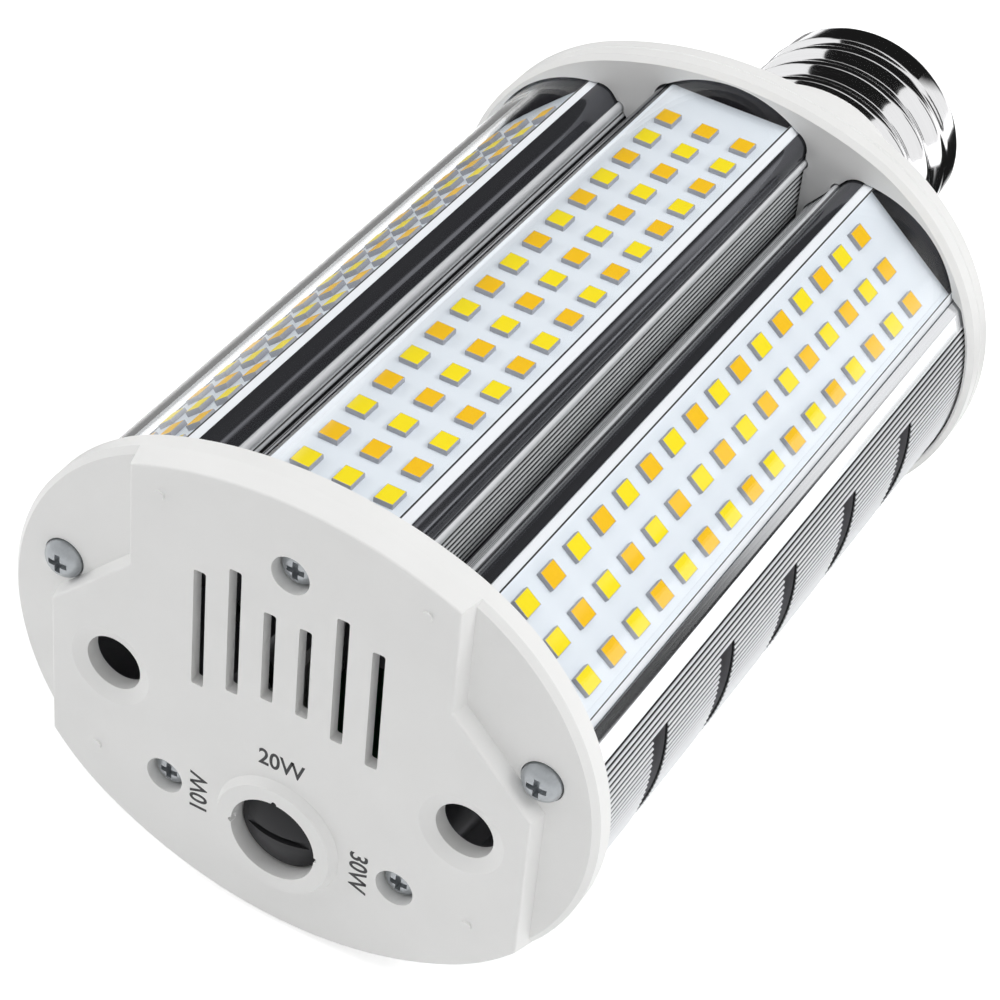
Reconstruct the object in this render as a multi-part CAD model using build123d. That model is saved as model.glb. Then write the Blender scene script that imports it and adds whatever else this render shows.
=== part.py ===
from build123d import *
import os
from math import cos, degrees, hypot, radians, sin, sqrt

# Screw-in LED lamp for wall lights, in millimetres.
# X runs across the lamp, Y from the front cap to the screw base, Z up through the centre board.
# The origin is on the lamp's axis, where the screw shell leaves the rear housing.

# Cap outline: a flat top arc and a bottom arc joined by two tangent side arcs
cap_half_width = 48.0
cap_top = 39.8
cap_bottom = 40.3
cap_top_radius = 67.2
cap_bottom_radius = 57.6
cap_wall = 1.2
cap_edge_chamfer = 0.9
parting_chamfer = 0.2

# Lengths along Y
neck_length = 4.0
cone_length = 18.8
housing_rim = 2.4
ring_depth = 3.4
exposed_length = 121.6
cap_rim_depth = 3.7
boss_height = 2.7
plate = 2.0
gasket = 1.0

# Front cap boss
boss_draft = 14.0
boss_round = 0.4
boss_shoulder_inset = 21.2
boss_shoulder_z = 16.2
boss_side_inset = 7.9
boss_side_z = 3.2
slot_width = 2.0
slot_pitch = 5.72
slot_spans = ((2.6, 18.6), (1.0, 23.4), (-0.6, 20.4))
air_hole_radius = 4.57
air_hole_inset = 18.9
air_hole_z = -5.0
air_hole_depth = 3.4
air_hole_dish_radius = 6.7
air_hole_dish_depth = 0.9
gate_mark_radius = 0.8
gate_mark_height = 0.35
gate_mark_insets = ((27.0, 30.7), (16.6, -21.6))

# Screws and the ports they turn into
screw_radius = 1.5
screw_length = 12.0
screw_head_radius = 2.8
screw_head_height = 1.9
ear_head_radius = 3.1
ear_head_height = 2.4
ear_counterbore_depth = 0.8
recess_width = 0.9
recess_depth = 1.0
screw_gap = 0.05
hole_gap = 0.2
head_gap = 0.25
well_depth = 3.2
well_wall = 1.5
port_wall = 1.7
top_screw_drop = 2.9
low_screw_x = 19.5
low_screw_rise = 18.9
ear_screw_inset = 9.1
ear_screw_rise = 5.4

# Fan of three lobes that carry the boards
lobe_tilt = 40.0
cover_margin = 1.5
board_width = 21.6
board_thickness = 1.6
board_front_gap = 0.5
board_back_gap = 1.8
board_side_gap = 0.15
rail_width = 1.65
rail_height = 0.7
rail_round = 3.0
outer_rail_width = 1.75
outer_rail_round = 1.5
bead_drop = 4.5
bead_rise = 0.6
bead_radius = 0.85
lobe_root = 22.0
lobe_wall = 2.6

# Ribbed back of the heat sink
sink_gap = 0.35
back_wall = 2.2
valley_depth = 24.0
trench_width = 1.7
rib_pitch = 1.05
rib_depth = 0.45
rib_start_z = 11.0
vent_width = 4.4
vent_pitch = 20.5
vent_setback = 22.2
vent_top_angle = 7.9
vent_bottom_angle = -44.4
valley_vent_height = 2.2
fit_gap = 0.3
cap_fit_gap = 0.2

# Clear covers
cover_rise = 4.3
cover_wall = 1.2
cover_chord_rise = 0.3
cover_foot_width = 0.8
cover_foot_drop = 1.25
cover_tongue_width = 0.6
cover_tongue_height = 0.4
cover_gap = 0.1

# LED packages
led_length = 3.6
led_width = 3.0
led_height = 0.8
led_edge = 0.15
led_column_pitch = 6.5
led_columns = 3
led_row_pitch = 7.0
led_margin_front = 6.5
led_margin_back = 9.5

# Power dial and its switch
dial_height = 18.3
collar_radius = 10.3
collar_top_radius = 9.5
collar_height = 1.4
dial_bore_radius = 7.05
dial_gap = 0.35
dial_rise = 2.0
dial_sink = 0.7
dial_slot_width = 1.1
dial_slot_depth = 1.2
dial_flange = 1.4
dial_flange_thickness = 1.2
dial_hub_radius = 4.0
dial_hub_length = 2.5
notch_radius = 0.45
shaft_radius = 2.0
shaft_gap = 0.05
shaft_depth = 5.0
switch_size = 12.0
switch_depth = 6.0
switch_gap = 0.4
switch_board_width = 30.0
switch_board_height = 16.0
switch_board_thickness = 1.6
post_x = 12.2
post_radius = 2.3
post_screw_radius = 1.0
post_screw_length = 6.0
post_head_radius = 1.9
post_head_height = 1.3

# Driver
tray_width = 30.0
tray_height = 16.0
tray_wall = 1.5
tray_ledge_height = 3.5
tray_ledge_width = 1.5
tray_start = 16.0
driver_board_thickness = 1.6
driver_board_gap = 0.2
driver_board_setback = 2.0
transformer_size = 18.0
transformer_height = 14.0
transformer_y = -72.0
core_thickness = 6.0
capacitor_radius = 5.0
capacitor_height = 16.0
capacitor_y = -98.0
capacitor_spacing = 11.5
choke_outer_radius = 7.0
choke_inner_radius = 3.2
choke_thickness = 6.0
choke_y = -50.0
film_width = 6.0
film_length = 13.0
film_height = 11.0
film_y = -40.0
transistor_width = 10.0
transistor_height = 15.0
transistor_thickness = 4.5
transistor_y = -115.0

# Mogul screw base
shell_radius = 19.525
shell_length = 33.8
shell_sheet = 0.5
shell_round = 3.0
shell_mouth_radius = 15.0
neck_radius = 22.0
spigot_length = 10.0
spigot_wall = 2.5
insulator_flange = 1.3
insulator_tip_radius = 9.4
insulator_height = 5.7
insulator_back = 3.3
contact_radius = 8.6
contact_edge = 0.8
contact_dome = 1.0
rivet_radius = 2.0
rivet_length = 10.0
housing_wall = 2.4
wire_opening_radius = 22.0

# Leads
lead_radius = 0.8
lead_hole_radius = 1.2
lead_offset = 4.5
lead_setback = 3.0
lead_bend = 5.0

# Stations along Y that follow from the lengths
y_housing = -(neck_length + cone_length + housing_rim)
y_ring = y_housing - ring_depth
y_cap_back = y_ring - exposed_length
y_ear = y_cap_back - cap_rim_depth
y_face = y_ear - boss_height
y_plate_back = y_ear + plate
y_sink_front = y_plate_back + gasket
y_sink_back = y_housing - gasket
y_board_front = y_sink_front + board_front_gap
y_board_back = y_sink_back - board_back_gap

# Arc centres and radii of the cap outline
top_centre_z = cap_top - cap_top_radius
bottom_centre_z = cap_bottom_radius - cap_bottom
centre_span = bottom_centre_z - top_centre_z
radius_ratio = (cap_top_radius - cap_bottom_radius) / centre_span
power_gap = cap_top_radius**2 - cap_bottom_radius**2 - top_centre_z**2 + bottom_centre_z**2
side_offset = power_gap / (2 * centre_span) - bottom_centre_z
half_sum = cap_bottom_radius - cap_half_width - side_offset * radius_ratio
remainder = cap_half_width**2 + side_offset**2 - cap_bottom_radius**2
side_radius = -remainder / (half_sum + sqrt(half_sum**2 - radius_ratio**2 * remainder))
side_centre_x = cap_half_width - side_radius
side_centre_z = side_offset + bottom_centre_z - radius_ratio * side_radius

# The fan's radius puts the centre cover under the cap's top edge
# and the edges of the outer rails on the heat sink's flanks
back_inset = cap_wall + sink_gap
pocket_half = board_width / 2 + board_side_gap
foot_half = pocket_half + cover_foot_width
tongue_half = foot_half + cover_tongue_width
lip_half = foot_half + cover_gap
lobe_half = lip_half + rail_width
rail_edge = lip_half + outer_rail_width
tilt_sin = sin(radians(lobe_tilt))
tilt_cos = cos(radians(lobe_tilt))
centre_face_z = cap_top - cover_margin - cover_rise
corner_reach = side_radius - back_inset
corner_x = rail_edge * tilt_cos + rail_height * tilt_sin - side_centre_x
corner_z = centre_face_z - rail_edge * tilt_sin + rail_height * tilt_cos - side_centre_z
fan_square = tilt_sin**2 + (1 - tilt_cos) ** 2
fan_half = corner_x * tilt_sin - corner_z * (1 - tilt_cos)
fan_rest = corner_x**2 + corner_z**2 - corner_reach**2
board_face_radius = (sqrt(fan_half**2 - fan_square * fan_rest) - fan_half) / fan_square
fan_centre_z = centre_face_z - board_face_radius

# Radii of the lobes, measured from the fan's centre
bed_radius = board_face_radius - board_thickness
rail_top = board_face_radius + rail_height
cover_sagitta = cover_rise - cover_chord_rise
cover_radius = (foot_half**2 + cover_sagitta**2) / (2 * cover_sagitta)
cover_centre = board_face_radius + cover_rise - cover_radius
foot_low = board_face_radius - cover_foot_drop
tongue_top = foot_low + cover_tongue_height
valley_meet_z = fan_centre_z + lobe_half * (1 + tilt_cos) / tilt_sin
lobes = {"left": -lobe_tilt, "centre": 0.0, "right": lobe_tilt}
valley_walls = ((1, 0.0), (-1, 0.0), (-1, lobe_tilt), (1, -lobe_tilt))

# Places across the cap that follow its outline
boss_shoulder_x = cap_half_width - boss_shoulder_inset
boss_side_x = cap_half_width - boss_side_inset
air_hole_x = cap_half_width - air_hole_inset
gate_marks = [(cap_half_width - inset, z) for inset, z in gate_mark_insets]
valley_floor_z = cap_top - valley_depth
dial_z = dial_height - cap_bottom
top_screw_z = fan_centre_z + bed_radius - lobe_wall - top_screw_drop
low_screw_z = low_screw_rise - cap_bottom
ear_screw_x = cap_half_width - ear_screw_inset
ear_screw_z = boss_side_z + ear_screw_rise
low_screws = [(low_screw_x, low_screw_z), (-low_screw_x, low_screw_z)]
face_screws = [(0.0, top_screw_z)] + low_screws
ear_screws = [(ear_screw_x, ear_screw_z), (-ear_screw_x, ear_screw_z)]
posts = [(post_x, dial_z), (-post_x, dial_z)]
port_radius = screw_radius + port_wall
well_radius = screw_head_radius + head_gap
dial_radius = dial_bore_radius - dial_gap
y_flange = y_face + plate + fit_gap
y_hub = y_flange + dial_flange_thickness
y_switch = y_hub + dial_hub_length + switch_gap
y_switch_board = y_switch + switch_depth
inner_inset = back_inset + rib_depth + back_wall
floor_reach = sqrt((cap_bottom_radius - inner_inset) ** 2 - (tray_width / 2) ** 2)
tray_floor_z = bottom_centre_z - floor_reach + fit_gap
driver_board_z = tray_floor_z + tray_wall + tray_ledge_height
driver_top_z = driver_board_z + driver_board_thickness
y_tray = y_face + tray_start
far = 4 * cap_half_width


def prism(section, y_front, y_back, taper=0.0):
    """Extrude a section drawn in X and Z from its back station to its front station."""
    plane = Plane((0, y_back, 0), x_dir=(1, 0, 0), z_dir=(0, -1, 0))
    return extrude(plane * section, amount=y_back - y_front, taper=taper)


def rod(radius, place, y_front, y_back):
    """A round bar along Y at an X and Z place."""
    return prism(Pos(*place) * Circle(radius), y_front, y_back)


def turned(points, place=(0.0, 0.0)):
    """Revolve a profile of radius and Y points about an axis along Y."""
    profile = make_face(Polyline(*points, close=True))
    return Pos(place[0], 0, place[1]) * revolve(profile, axis=Axis.Y)


def span(x_range, z_range):
    """A rectangle in X and Z between two pairs of limits."""
    width = x_range[1] - x_range[0]
    height = z_range[1] - z_range[0]
    return Pos(x_range[0] + width / 2, z_range[0] + height / 2) * Rectangle(width, height)


def outline_joints(inset=0.0):
    """The tangent points of the cap outline, on the right-hand side, top then bottom."""
    joints = []
    for centre_z, radius in ((top_centre_z, cap_top_radius), (bottom_centre_z, cap_bottom_radius)):
        reach = (radius - inset) / hypot(side_centre_x, side_centre_z - centre_z)
        joints.append((side_centre_x * reach, centre_z + (side_centre_z - centre_z) * reach))
    return joints


def four_arcs(right_top, right_bottom, top_z, bottom_z, side_x, side_z):
    """A closed face of four arcs, symmetric in X."""
    left_top = (-right_top[0], right_top[1])
    left_bottom = (-right_bottom[0], right_bottom[1])
    edges = [
        ThreePointArc(left_top, (0, top_z), right_top),
        ThreePointArc(right_top, (side_x, side_z), right_bottom),
        ThreePointArc(right_bottom, (0, bottom_z), left_bottom),
        ThreePointArc(left_bottom, (-side_x, side_z), left_top),
    ]
    return make_face(edges)


def oval(inset=0.0):
    """The cap outline, moved inwards by an inset."""
    right_top, right_bottom = outline_joints(inset)
    return four_arcs(
        right_top,
        right_bottom,
        cap_top - inset,
        inset - cap_bottom,
        cap_half_width - inset,
        side_centre_z,
    )


def round_outline(radius):
    """A circle cut into four arcs at the same bearings as the cap outline."""
    corners = []
    for x, z in outline_joints():
        reach = radius / hypot(x, z)
        corners.append((x * reach, z * reach))
    return four_arcs(corners[0], corners[1], radius, -radius, radius, 0)


def in_lobe(shape, tilt):
    """Place a shape drawn about the fan's centre into a tilted lobe."""
    return Pos(0, fan_centre_z) * Rot(0, 0, -tilt) * shape


def lobe_point(across, out, tilt):
    """X and Z of a point given across a lobe and out from the fan's centre."""
    x = across * cos(radians(tilt)) + out * sin(radians(tilt))
    z = fan_centre_z - across * sin(radians(tilt)) + out * cos(radians(tilt))
    return x, z


def in_lobes(shape):
    """The same shape in all three lobes."""
    placed = Sketch()
    for tilt in lobes.values():
        placed += in_lobe(shape, tilt)
    return placed


def lobe_block(grow=0.0):
    """One lobe's outer section with rounded rail tops."""
    half = lobe_half + grow
    block = span((-half, half), (lobe_root, rail_top + grow))
    tops = block.vertices().sort_by(Axis.Y)[-2:]
    return fillet(tops, rail_round + grow)


def cover_dome(grow=0.0):
    """The area under a cover's arch, above the board's face."""
    disc = Pos(0, cover_centre) * Circle(cover_radius + grow)
    return disc & span((-far, far), (board_face_radius, far))


def beads(grow=0.0):
    """Round beads along the lobe walls that face a valley."""
    across = lobe_half + bead_rise - bead_radius
    placed = Sketch()
    for side, tilt in valley_walls:
        place = Pos(side * across, board_face_radius - bead_drop)
        placed += in_lobe(place * Circle(bead_radius + grow), tilt)
    return placed


def trench_top(grow=0.0):
    """Height at which a trench's outer side meets the tilted lobe's wall."""
    half = lobe_half + grow
    reach = (lobe_half + trench_width - grow + half * tilt_cos) / tilt_sin
    return lobe_point(-half, reach, lobe_tilt)[1]


def trenches(grow=0.0):
    """Narrow channels at the foot of the valleys."""
    inner = lobe_half + grow
    outer = lobe_half + trench_width - grow
    heights = (valley_floor_z + grow, trench_top(grow))
    return span((inner, outer), heights) + span((-outer, -inner), heights)


def body_outline(grow=0.0):
    """Outer section of the heat sink without its ribs and pockets."""
    under_rails = span((-far, far), (-far, rail_top + grow))
    back = oval(back_inset - grow) & span((-far, far), (-far, valley_meet_z))
    back = back & in_lobe(under_rails, lobe_tilt) & in_lobe(under_rails, -lobe_tilt)
    corners = back.vertices().sort_by(Axis.X)
    back = fillet([corners[0], corners[-1]], outer_rail_round + grow)
    return back + in_lobes(lobe_block(grow)) + beads(grow) - trenches(grow)


def cavity():
    """Inner section of the heat sink."""
    roof = valley_floor_z - lobe_wall
    bed_bottom = bed_radius - lobe_wall
    half = lobe_half - lobe_wall
    outer = lobe_half + trench_width + lobe_wall
    inner = oval(inner_inset) & span((-far, far), (-far, roof))
    inner -= in_lobes(span((-lobe_half, lobe_half), (bed_bottom, far)))
    inner += in_lobes(span((-half, half), (lobe_root, bed_bottom)))
    return inner - span((half, outer), (roof, far)) - span((-outer, -half), (roof, far))


def back_ribs():
    """Rib grooves around the back, by even steps of arc length from its lowest point."""
    low = outline_joints(back_inset)[1]
    low_radius = cap_bottom_radius - back_inset
    flank_radius = side_radius - back_inset
    low_sweep = Vector(0, -1).get_angle(Vector(low[0], low[1] - bottom_centre_z))
    flank_end = side_centre_z - rib_start_z
    flank_sweep = 90 - low_sweep - degrees(flank_end / flank_radius)
    low_length = radians(low_sweep) * low_radius
    total = low_length + radians(flank_sweep) * flank_radius
    groove = Rot(0, 0, 45) * Rectangle(rib_depth * sqrt(2), rib_depth * sqrt(2))
    grooves = Sketch()
    for index in range(int(total / rib_pitch) + 1):
        length = index * rib_pitch
        if length <= low_length:
            angle = length / low_radius
            x = low_radius * sin(angle)
            z = bottom_centre_z - low_radius * cos(angle)
        else:
            angle = radians(low_sweep) + (length - low_length) / flank_radius
            x = side_centre_x + flank_radius * sin(angle)
            z = side_centre_z - flank_radius * cos(angle)
        turn = Rot(0, 0, degrees(angle))
        grooves += Pos(x, z) * turn * groove
        if index:
            grooves += Pos(-x, z) * Rot(0, 0, -degrees(angle)) * groove
    return grooves


def valley_ribs():
    """What is cut from the lobe walls that face a valley, to leave rows of half-round ribs."""
    top = board_face_radius - bead_drop - bead_radius - rib_depth / 2
    root = lobe_half - rib_depth
    channels = Sketch()
    for side, tilt in valley_walls:
        lowest = trench_top() if tilt else valley_floor_z
        rounds = Sketch()
        low = top
        while lobe_point(side * lobe_half, low - rib_pitch, tilt)[1] > lowest:
            rounds += Pos(side * root, low - rib_pitch / 2) * Circle(rib_depth)
            low -= rib_pitch
        strip = span(sorted((side * root, side * (lobe_half + rib_depth))), (low, top))
        channels += in_lobe(strip - rounds, tilt)
    return channels


def pocket():
    """Board bed and cover slots of one lobe, open at the top."""
    low = foot_low - cover_gap
    groove_half = tongue_half + cover_gap
    opening = span((-pocket_half, pocket_half), (bed_radius, far))
    opening += span((-lip_half, lip_half), (low, far))
    return opening + span((-groove_half, groove_half), (low, tongue_top + cover_gap))


def screw_ports():
    """Round ports that run the length of the heat sink, with webs to the wall."""
    inner = cap_bottom_radius - inner_inset + back_wall / 2
    bosses = Sketch()
    for place in face_screws + ear_screws:
        bosses += Pos(*place) * Circle(port_radius)
    for x, z in low_screws:
        wall_z = bottom_centre_z - sqrt(inner**2 - x**2)
        bosses += span((x - port_wall, x + port_wall), (wall_z, z))
    web_top = fan_centre_z + bed_radius - lobe_wall / 2
    return bosses + span((-port_wall, port_wall), (top_screw_z, web_top))


def vent_cuts():
    """Cutter blocks for the side vents and the valley vents."""
    count = int((exposed_length - vent_setback) / vent_pitch) + 1
    flank_radius = side_radius - back_inset
    drop = flank_radius * sin(radians(vent_bottom_angle))
    inner_x = side_centre_x + sqrt((side_radius - inner_inset) ** 2 - drop**2)
    vent_z = (side_centre_z + drop, side_centre_z + flank_radius * sin(radians(vent_top_angle)))
    openings = span((inner_x, far), vent_z) + span((-far, -inner_x), vent_z)
    wall_x = (lobe_half - lobe_wall - fit_gap, lobe_half + trench_width)
    wall_z = (valley_floor_z, valley_floor_z + valley_vent_height)
    openings += span(wall_x, wall_z) + span((-wall_x[1], -wall_x[0]), wall_z)
    cuts = Part()
    for index in range(count):
        y = y_ring - vent_setback - index * vent_pitch
        cuts += prism(openings, y - vent_width / 2, y + vent_width / 2)
    return cuts


def lead_place(tilt, out):
    """Where a board's lead passes at a given distance from the fan's centre."""
    side = -1 if tilt > 0 else 1
    return lobe_point(side * lead_offset, out, tilt)


def lead_hole(tilt):
    """Hole for a board's lead, square to the board."""
    x, z = lead_place(tilt, bed_radius - lobe_wall)
    top_x, top_z = lead_place(tilt, board_face_radius)
    y = y_board_front + lead_setback
    start = Vector(2 * x - top_x, y, 2 * z - top_z)
    direction = Vector(top_x - x, 0, top_z - z)
    plane = Plane(start, z_dir=direction)
    return extrude(plane * Circle(lead_hole_radius), amount=3 * direction.length)


def make_heat_sink():
    section = body_outline() - cavity() + screw_ports()
    section -= in_lobes(pocket())
    section -= back_ribs()
    section -= valley_ribs()
    for place in face_screws + ear_screws:
        section -= Pos(*place) * Circle(screw_radius + screw_gap)
    sink = prism(section, y_sink_front, y_sink_back) - vent_cuts()
    for tilt in lobes.values():
        sink -= lead_hole(tilt)
    return sink


def make_board(tilt):
    section = span((-board_width / 2, board_width / 2), (bed_radius, board_face_radius))
    return prism(in_lobe(section, tilt), y_board_front, y_board_back) - lead_hole(tilt)


def make_leds(tilt, first_row):
    """Every second row of LED packages on one board, counted from the rear."""
    rows = int((exposed_length - led_margin_front - led_margin_back) / led_row_pitch) + 1
    block = chamfer(Box(led_width, led_length, led_height).faces().sort_by(Axis.Z)[-1].edges(), led_edge)
    packages = []
    for row in range(first_row, rows, 2):
        y = y_ring - led_margin_back - row * led_row_pitch
        for column in range(led_columns):
            across = (column - (led_columns - 1) / 2) * led_column_pitch
            x, z = lobe_point(across, board_face_radius + led_height / 2, tilt)
            packages.append(Pos(x, y, z) * Rot(0, tilt, 0) * block)
    return Compound(children=packages)


def make_cover(tilt):
    outer = Pos(0, cover_centre) * Circle(cover_radius)
    inner = Pos(0, cover_centre) * Circle(cover_radius - cover_wall)
    section = (outer - inner) & span((-foot_half, foot_half), (board_face_radius + cover_gap, far))
    foot_z = (foot_low, board_face_radius + cover_chord_rise)
    section += span((pocket_half, foot_half), foot_z) + span((-foot_half, -pocket_half), foot_z)
    tongue_z = (foot_low, tongue_top)
    section += span((foot_half, tongue_half), tongue_z) + span((-tongue_half, -foot_half), tongue_z)
    return prism(in_lobe(section, tilt), y_sink_front, y_sink_back)


def boss_section(inset=0.0):
    """Outline of the raised boss of the front cap."""
    points = [
        (boss_shoulder_x - inset, far),
        (boss_shoulder_x - inset, boss_shoulder_z),
        (boss_side_x - inset, boss_side_z),
        (boss_side_x - inset, -far),
    ]
    mirrored = [(-x, z) for x, z in reversed(points)]
    return make_face(Polyline(*points, *mirrored, close=True)) & oval(inset)


def make_screw(place, y_seat, head_radius, head_height, length, shank=screw_radius):
    """Pan-head screw with a cross recess, its head in front of the seat."""
    edge_y = y_seat - head_height / 2
    head = Polyline((0, y_seat), (head_radius, y_seat), (head_radius, edge_y))
    dome = ThreePointArc(
        (head_radius, edge_y),
        (head_radius * sin(radians(45)), edge_y - head_height / 2 * sin(radians(60))),
        (0, y_seat - head_height),
    )
    axis_line = Line((0, y_seat - head_height), (0, y_seat))
    screw = revolve(make_face(head.edges() + [dome, axis_line]), axis=Axis.Y)
    screw += rod(shank, (0, 0), y_seat, y_seat + length)
    cross = Rectangle(recess_width, head_radius) + Rectangle(head_radius, recess_width)
    screw -= prism(cross, y_seat - 2 * head_height, y_seat - head_height + recess_depth)
    return Pos(place[0], 0, place[1]) * screw


def turn_round(shape, y_plane):
    """Turn a shape end for end about a station along Y."""
    return Pos(0, y_plane, 0) * Rot(0, 0, 180) * Pos(0, -y_plane, 0) * shape


def make_front_cap():
    rim = prism(oval(), y_ear, y_cap_back)
    rim = chamfer(rim.edges().group_by(Axis.Y)[0], cap_edge_chamfer)
    boss = prism(boss_section(), y_face, y_ear + cap_edge_chamfer, boss_draft)
    cap = rim + fillet(boss.edges().group_by(Axis.Y)[0], boss_round)
    cap -= prism(oval(cap_wall), y_plate_back, y_cap_back)
    cap -= prism(boss_section(plate + cap_wall), y_face + plate, y_plate_back)
    for place in face_screws:
        cap += rod(well_radius + well_wall, place, y_face + plate, y_plate_back)
        cap -= rod(well_radius, place, y_face, y_face + well_depth)
        cap -= rod(screw_radius + hole_gap, place, y_face, y_plate_back)
    for place in ear_screws:
        cap -= rod(ear_head_radius + hole_gap, place, y_ear, y_ear + ear_counterbore_depth)
        cap -= rod(screw_radius + hole_gap, place, y_ear, y_plate_back)
    for place in posts:
        cap += rod(post_radius, place, y_face + plate, y_switch_board)
        cap -= rod(post_screw_radius + screw_gap, place, y_switch_board - post_screw_length, y_switch_board)
    return cut_face(cap)


def cut_face(cap):
    """Add the collar, air holes, slots and gate marks to the cap's face."""
    for side in (-1, 1):
        place = (side * air_hole_x, air_hole_z)
        cap += rod(air_hole_dish_radius, place, y_face + plate, y_face + air_hole_depth)
        dish = [
            (0, y_face),
            (air_hole_dish_radius, y_face),
            (air_hole_radius, y_face + air_hole_dish_depth),
            (0, y_face + air_hole_dish_depth),
        ]
        cap -= turned(dish, place)
        cap -= rod(air_hole_radius, place, y_face, y_plate_back)
        for index, z_range in enumerate(slot_spans):
            x = side * (index + 0.5) * slot_pitch
            slot = span((x - slot_width / 2, x + slot_width / 2), z_range)
            cap -= prism(fillet(slot.vertices(), slot_width / 5), y_face, y_face + plate)
        for x, z in gate_marks:
            cap += rod(gate_mark_radius, (side * x, z), y_face - gate_mark_height, y_face)
    collar = [
        (dial_bore_radius, y_face),
        (collar_radius, y_face),
        (collar_top_radius, y_face - collar_height),
        (dial_bore_radius, y_face - collar_height),
    ]
    cap += turned(collar, (0, dial_z))
    cap -= rod(dial_bore_radius, (0, dial_z), y_face, y_face + plate)
    for bearing in (0, 90, 180):
        x = dial_bore_radius * cos(radians(bearing))
        z = dial_z + dial_bore_radius * sin(radians(bearing))
        cap -= rod(notch_radius, (x, z), y_face - collar_height, y_face)
    return cap


def make_rear_ring():
    ring = prism(oval(), y_ring, y_housing)
    ring = chamfer(ring.edges().group_by(Axis.Y)[0], cap_edge_chamfer)
    ring = chamfer(ring.edges().group_by(Axis.Y)[-1], parting_chamfer)
    opening = body_outline(fit_gap) + in_lobes(cover_dome(fit_gap))
    return ring - prism(opening, y_ring, y_housing)


def make_gasket(outline, y_front):
    return prism(outline - cavity(), y_front, y_front + gasket)


def housing_solid(inset, y_front, y_back):
    """The housing's tapering form between two stations, moved inwards by an inset."""
    plane = Plane((0, y_front, 0), x_dir=(1, 0, 0), z_dir=(0, -1, 0))
    end_plane = Plane((0, y_back, 0), x_dir=(1, 0, 0), z_dir=(0, -1, 0))
    return loft([plane * oval(inset), end_plane * round_outline(neck_radius - inset)])


def make_rear_housing():
    y_cone = y_housing + housing_rim
    rim = prism(oval(), y_housing, y_cone)
    rim = chamfer(rim.edges().group_by(Axis.Y)[0], parting_chamfer)
    outer = rim + housing_solid(0.0, y_cone, -neck_length)
    bosses = Part()
    for place in face_screws:
        bosses += rod(well_radius + well_wall, place, y_housing, 0)
    bosses = bosses & outer
    housing = outer + rod(neck_radius, (0, 0), -neck_length, 0)
    housing += rod(shell_radius - shell_sheet - shaft_gap, (0, 0), 0, spigot_length)
    housing -= housing_solid(housing_wall, y_housing + plate, -neck_length)
    bore = shell_radius - shell_sheet - spigot_wall
    housing -= rod(bore, (0, 0), -neck_length, spigot_length)
    housing -= rod(wire_opening_radius, (0, 0), y_housing, y_housing + plate)
    housing += bosses
    for place in face_screws:
        housing -= rod(well_radius, place, y_housing + well_depth, 0)
        housing -= rod(screw_radius + hole_gap, place, y_housing, 0)
    return housing


def make_dial():
    y_rim = y_face - collar_height + dial_sink + dial_rise
    y_apex = y_rim - dial_rise
    quarter = dial_radius / 2
    sphere = (dial_radius**2 + dial_rise**2) / (2 * dial_rise)
    drop = sphere - sqrt(sphere**2 - quarter**2)
    dome = ThreePointArc((dial_radius, y_rim), (quarter, y_apex + drop), (0, y_apex))
    sides = Polyline((0, y_apex), (0, y_flange), (dial_radius, y_flange), (dial_radius, y_rim))
    dial = revolve(make_face(sides.edges() + [dome]), axis=Axis.Y)
    dial += rod(dial_bore_radius + dial_flange, (0, 0), y_flange, y_hub)
    dial += rod(dial_hub_radius, (0, 0), y_hub, y_hub + dial_hub_length)
    dial -= rod(shaft_radius + shaft_gap, (0, 0), y_flange, y_hub + dial_hub_length)
    slot = Rectangle(4 * dial_radius, dial_slot_width)
    dial -= prism(slot, y_apex - dial_rise, y_apex + dial_slot_depth)
    return Pos(0, 0, dial_z) * dial


def make_rotary_switch():
    body = prism(Rectangle(switch_size, switch_size), y_switch, y_switch_board)
    body = chamfer(body.edges().filter_by(Axis.Y), switch_size / 12)
    body -= rod(shaft_radius + shaft_gap, (0, 0), y_switch, y_switch + shaft_depth)
    return Pos(0, 0, dial_z) * body


def make_switch_board():
    section = Pos(0, dial_z) * Rectangle(switch_board_width, switch_board_height)
    for place in posts:
        section -= Pos(*place) * Circle(post_screw_radius + hole_gap)
    return prism(section, y_switch_board, y_switch_board + switch_board_thickness)


def make_post_screws():
    seat = y_switch_board + switch_board_thickness
    length = post_screw_length - screw_gap + switch_board_thickness - post_screw_radius
    screws = []
    for place in posts:
        screw = make_screw((0, 0), seat, post_head_radius, post_head_height, length, post_screw_radius)
        screws.append(Pos(place[0], 0, place[1]) * turn_round(screw, seat))
    return Compound(children=screws)


def make_tray():
    half = tray_width / 2
    inner = half - tray_wall
    section = span((-half, half), (tray_floor_z, tray_floor_z + tray_height))
    section -= span((-inner, inner), (driver_board_z, far))
    ledge = inner - tray_ledge_width
    section -= span((-ledge, ledge), (tray_floor_z + tray_wall, far))
    return prism(section, y_tray, y_sink_back)


def make_driver_board():
    half = tray_width / 2 - tray_wall - driver_board_gap
    section = span((-half, half), (driver_board_z, driver_top_z))
    return prism(section, y_tray + driver_board_setback, y_sink_back - driver_board_setback)


def on_driver(section, y, height):
    """Raise a section, centred on a station along Y, from the driver board."""
    return Pos(0, y, driver_top_z) * extrude(section, amount=height)


def make_transformer():
    winding = on_driver(Circle(transformer_size / 2 - lead_radius), transformer_y, transformer_height)
    core = on_driver(Rectangle(transformer_size, core_thickness), transformer_y, transformer_height)
    base = on_driver(Rectangle(transformer_size, transformer_size), transformer_y, transformer_height / 5)
    return winding + core + base


def make_capacitors():
    cans = []
    for side in (-1, 1):
        can = on_driver(Circle(capacitor_radius), capacitor_y, capacitor_height)
        cans.append(Pos(side * capacitor_spacing / 2, 0, 0) * can)
    return Compound(children=cans)


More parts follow.
